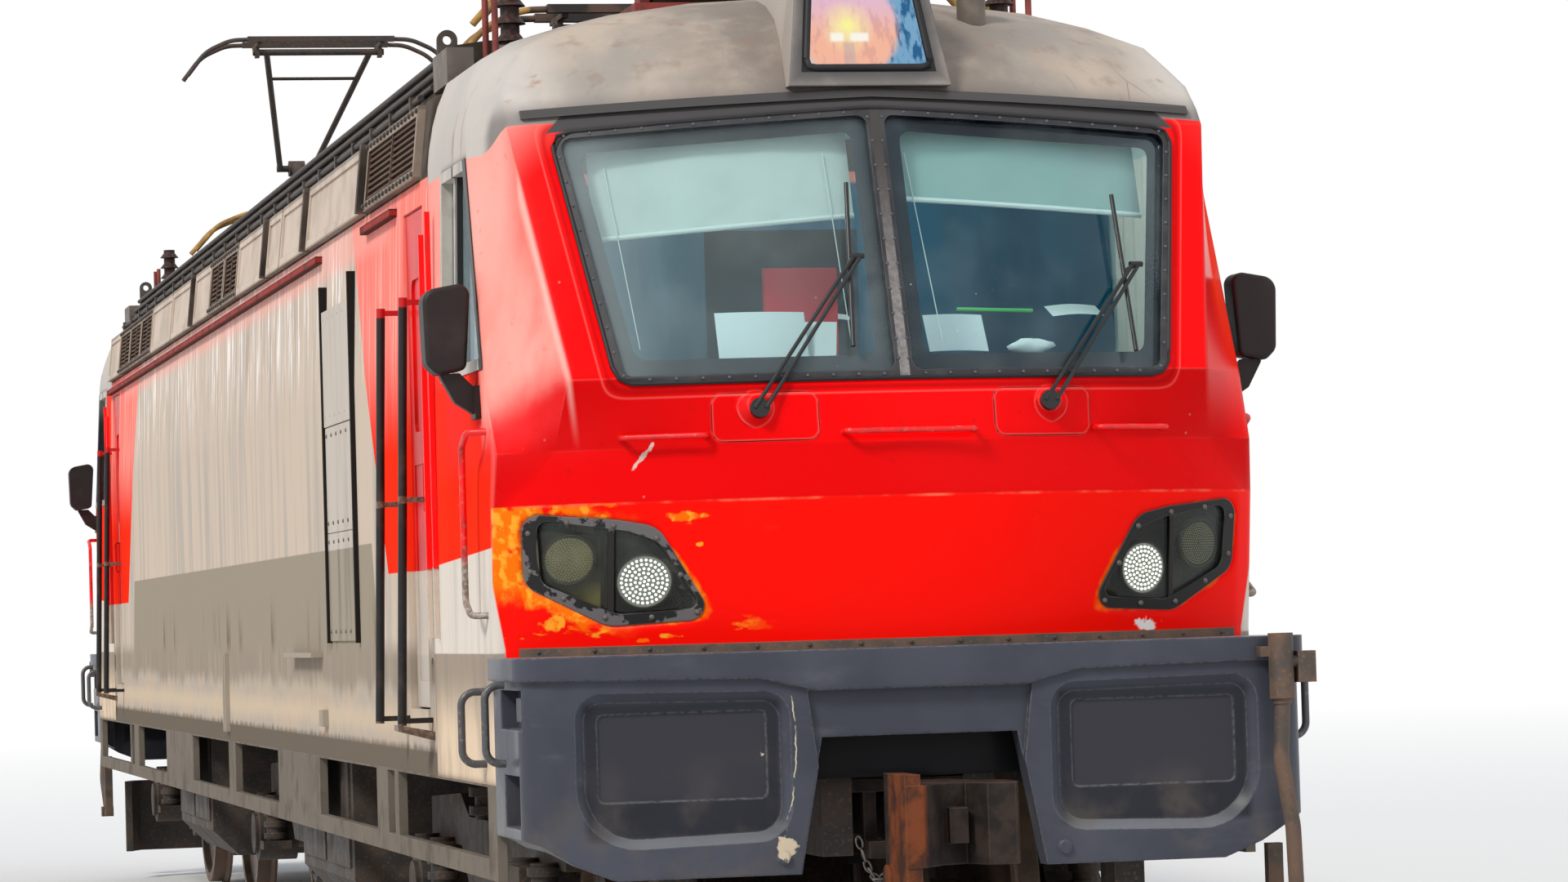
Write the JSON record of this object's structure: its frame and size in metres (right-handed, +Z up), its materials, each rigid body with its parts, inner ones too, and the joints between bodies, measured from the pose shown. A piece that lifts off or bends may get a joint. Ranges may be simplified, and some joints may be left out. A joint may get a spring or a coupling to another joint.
{
  "type": "electric locomotive",
  "caption": "Double-ended electric locomotive with three two-axle bogies, raked cab ends, roof pantographs, hinged side doors and automatic couplers.",
  "frame": {"origin": "centre of the footprint at the lowest point of the wheel flanges", "axes": "+Z up, the pictured cab faces -Y, +X to the right of someone looking along +Y"},
  "size_m": [3.4612, 22.532, 6.1965],
  "materials": {
    "body_paint": "satin",
    "cab_paint": "satin",
    "glass": "satin",
    "lamp_black": "satin",
    "sill_paint": "satin",
    "bumper_grey": "satin",
    "coupler_steel": "satin",
    "underframe_black": "satin",
    "roof_grey": "satin",
    "black_plastic": "satin",
    "rubber_black": "satin",
    "rail_black": "satin",
    "desk_plastic": "satin",
    "seat_fabric": "satin",
    "panto_red": "satin",
    "door_paint": "satin",
    "bogie_black": "satin",
    "wheel_steel": "satin",
    "arm_grey": "satin"
  },
  "bodies": {
    "body": {"machine_body": "body_paint", "cab_shell_front": "cab_paint", "cab_shell_rear": "cab_paint", "cab_glass": "glass", "headlamps": "lamp_black", "side_skirts": "sill_paint", "bumper_front": "bumper_grey", "bumper_rear": "bumper_grey", "couplers": "coupler_steel", "draft_boxes": "underframe_black", "ploughs": "underframe_black", "roof_hatches": "roof_grey", "roof_lamps": "roof_grey", "mirrors": "black_plastic", "door_rails": "rail_black", "underfloor_boxes": "underframe_black", "roof_gear": "roof_grey", "cab_desks": "desk_plastic", "seats": "seat_fabric", "pantograph_bases": "panto_red", "window_frames": "rubber_black", "lamp_glass": "glass", "side_covers": "body_paint", "jumpers": "underframe_black", "roof_rails": "arm_grey", "handrails": "cab_paint", "wipers": "black_plastic", "transformer": "arm_grey"},
    "bogie_1": {"bogie_frame_1": "bogie_black", "traction_motors_1": "bogie_black"},
    "bogie_2": {"bogie_frame_2": "bogie_black", "traction_motors_2": "bogie_black"},
    "bogie_3": {"bogie_frame_3": "bogie_black", "traction_motors_3": "bogie_black"},
    "wheelset_1": {"wheelset_1": "wheel_steel"},
    "wheelset_2": {"wheelset_2": "wheel_steel"},
    "wheelset_3": {"wheelset_3": "wheel_steel"},
    "wheelset_4": {"wheelset_4": "wheel_steel"},
    "wheelset_5": {"wheelset_5": "wheel_steel"},
    "wheelset_6": {"wheelset_6": "wheel_steel"},
    "door_front_right": {"door_front_right": "door_paint"},
    "door_front_left": {"door_front_left": "door_paint"},
    "door_rear_left": {"door_rear_left": "door_paint"},
    "door_rear_right": {"door_rear_right": "door_paint"},
    "panto_1_lower_arm": {"panto_1_lower_arm": "panto_red"},
    "panto_1_upper_arm": {"panto_1_upper_arm": "arm_grey"},
    "panto_1_head": {"panto_1_head": "arm_grey"},
    "panto_2_lower_arm": {"panto_2_lower_arm": "panto_red"},
    "panto_2_upper_arm": {"panto_2_upper_arm": "arm_grey"},
    "panto_2_head": {"panto_2_head": "arm_grey"},
    "panto_3_lower_arm": {"panto_3_lower_arm": "panto_red"},
    "panto_3_upper_arm": {"panto_3_upper_arm": "arm_grey"},
    "panto_3_head": {"panto_3_head": "arm_grey"},
    "panto_4_lower_arm": {"panto_4_lower_arm": "panto_red"},
    "panto_4_upper_arm": {"panto_4_upper_arm": "arm_grey"},
    "panto_4_head": {"panto_4_head": "arm_grey"}
  },
  "joints": [
    {"name": "bogie_1_steer", "type": "hinge", "parent": "body", "child": "bogie_1", "pos_m": [0, -7, 1], "axis": [0, 0, 1], "range_deg": [-3.5, 3.5]},
    {"name": "wheelset_1_spin", "type": "hinge", "parent": "bogie_1", "child": "wheelset_1", "pos_m": [0, -8.45, 0.655], "axis": [1, 0, 0], "continuous": true},
    {"name": "wheelset_2_spin", "type": "hinge", "parent": "bogie_1", "child": "wheelset_2", "pos_m": [0, -5.55, 0.655], "axis": [1, 0, 0], "continuous": true},
    {"name": "bogie_2_steer", "type": "hinge", "parent": "body", "child": "bogie_2", "pos_m": [0, 0, 1], "axis": [0, 0, 1], "range_deg": [-1.5, 1.5]},
    {"name": "wheelset_3_spin", "type": "hinge", "parent": "bogie_2", "child": "wheelset_3", "pos_m": [0, -1.45, 0.655], "axis": [1, 0, 0], "continuous": true},
    {"name": "wheelset_4_spin", "type": "hinge", "parent": "bogie_2", "child": "wheelset_4", "pos_m": [0, 1.45, 0.655], "axis": [1, 0, 0], "continuous": true},
    {"name": "bogie_3_steer", "type": "hinge", "parent": "body", "child": "bogie_3", "pos_m": [0, 7, 1], "axis": [0, 0, 1], "range_deg": [-3.5, 3.5]},
    {"name": "wheelset_5_spin", "type": "hinge", "parent": "bogie_3", "child": "wheelset_5", "pos_m": [0, 5.55, 0.655], "axis": [1, 0, 0], "continuous": true},
    {"name": "wheelset_6_spin", "type": "hinge", "parent": "bogie_3", "child": "wheelset_6", "pos_m": [0, 8.45, 0.655], "axis": [1, 0, 0], "continuous": true},
    {"name": "door_front_right_hinge", "type": "hinge", "parent": "body", "child": "door_front_right", "pos_m": [1.45, -7.593, 2.5], "axis": [0, 0, -1], "range_deg": [0, 90]},
    {"name": "door_front_left_hinge", "type": "hinge", "parent": "body", "child": "door_front_left", "pos_m": [-1.45, -7.593, 2.5], "axis": [0, 0, 1], "range_deg": [0, 90]},
    {"name": "door_rear_left_hinge", "type": "hinge", "parent": "body", "child": "door_rear_left", "pos_m": [-1.45, 7.593, 2.5], "axis": [0, 0, -1], "range_deg": [0, 90]},
    {"name": "door_rear_right_hinge", "type": "hinge", "parent": "body", "child": "door_rear_right", "pos_m": [1.45, 7.593, 2.5], "axis": [0, 0, 1], "range_deg": [0, 90]},
    {"name": "panto_1_raise", "type": "hinge", "parent": "body", "child": "panto_1_lower_arm", "pos_m": [0, -7.48, 4.6], "axis": [-1, 0, 0], "range_deg": [0, 34]},
    {"name": "panto_1_knee", "type": "hinge", "parent": "panto_1_lower_arm", "child": "panto_1_upper_arm", "pos_m": [0, -9.17767, 4.68897], "axis": [1, 0, 0], "range_deg": [0, 68]},
    {"name": "panto_1_level", "type": "hinge", "parent": "panto_1_upper_arm", "child": "panto_1_head", "pos_m": [0, -7.47767, 4.68897], "axis": [-1, 0, 0], "range_deg": [0, 34]},
    {"name": "panto_2_raise", "type": "hinge", "parent": "body", "child": "panto_2_lower_arm", "pos_m": [0, -5.58, 4.6], "axis": [1, 0, 0], "range_deg": [0, 34]},
    {"name": "panto_2_knee", "type": "hinge", "parent": "panto_2_lower_arm", "child": "panto_2_upper_arm", "pos_m": [0, -3.88233, 4.68897], "axis": [-1, 0, 0], "range_deg": [0, 68]},
    {"name": "panto_2_level", "type": "hinge", "parent": "panto_2_upper_arm", "child": "panto_2_head", "pos_m": [0, -5.58233, 4.68897], "axis": [1, 0, 0], "range_deg": [0, 34]},
    {"name": "panto_3_raise", "type": "hinge", "parent": "body", "child": "panto_3_lower_arm", "pos_m": [0, 5.58, 4.6], "axis": [-1, 0, 0], "range_deg": [0, 34]},
    {"name": "panto_3_knee", "type": "hinge", "parent": "panto_3_lower_arm", "child": "panto_3_upper_arm", "pos_m": [0, 3.88233, 4.68897], "axis": [1, 0, 0], "range_deg": [0, 68]},
    {"name": "panto_3_level", "type": "hinge", "parent": "panto_3_upper_arm", "child": "panto_3_head", "pos_m": [0, 5.58233, 4.68897], "axis": [-1, 0, 0], "range_deg": [0, 34]},
    {"name": "panto_4_raise", "type": "hinge", "parent": "body", "child": "panto_4_lower_arm", "pos_m": [0, 7.48, 4.6], "axis": [1, 0, 0], "range_deg": [-24.72, 9.28]},
    {"name": "panto_4_knee", "type": "hinge", "parent": "panto_4_lower_arm", "child": "panto_4_upper_arm", "pos_m": [0, 8.98489, 5.39076], "axis": [-1, 0, 0], "range_deg": [-49.44, 18.56]},
    {"name": "panto_4_level", "type": "hinge", "parent": "panto_4_upper_arm", "child": "panto_4_head", "pos_m": [0, 7.44068, 6.10167], "axis": [1, 0, 0], "range_deg": [-24.72, 9.28]}
  ],
  "couplings": [
    {"joint": "panto_1_knee", "follows": "panto_1_raise", "ratio": 2},
    {"joint": "panto_1_level", "follows": "panto_1_raise", "ratio": 1},
    {"joint": "panto_2_knee", "follows": "panto_2_raise", "ratio": 2},
    {"joint": "panto_2_level", "follows": "panto_2_raise", "ratio": 1},
    {"joint": "panto_3_knee", "follows": "panto_3_raise", "ratio": 2},
    {"joint": "panto_3_level", "follows": "panto_3_raise", "ratio": 1},
    {"joint": "panto_4_knee", "follows": "panto_4_raise", "ratio": 2},
    {"joint": "panto_4_level", "follows": "panto_4_raise", "ratio": 1}
  ]
}
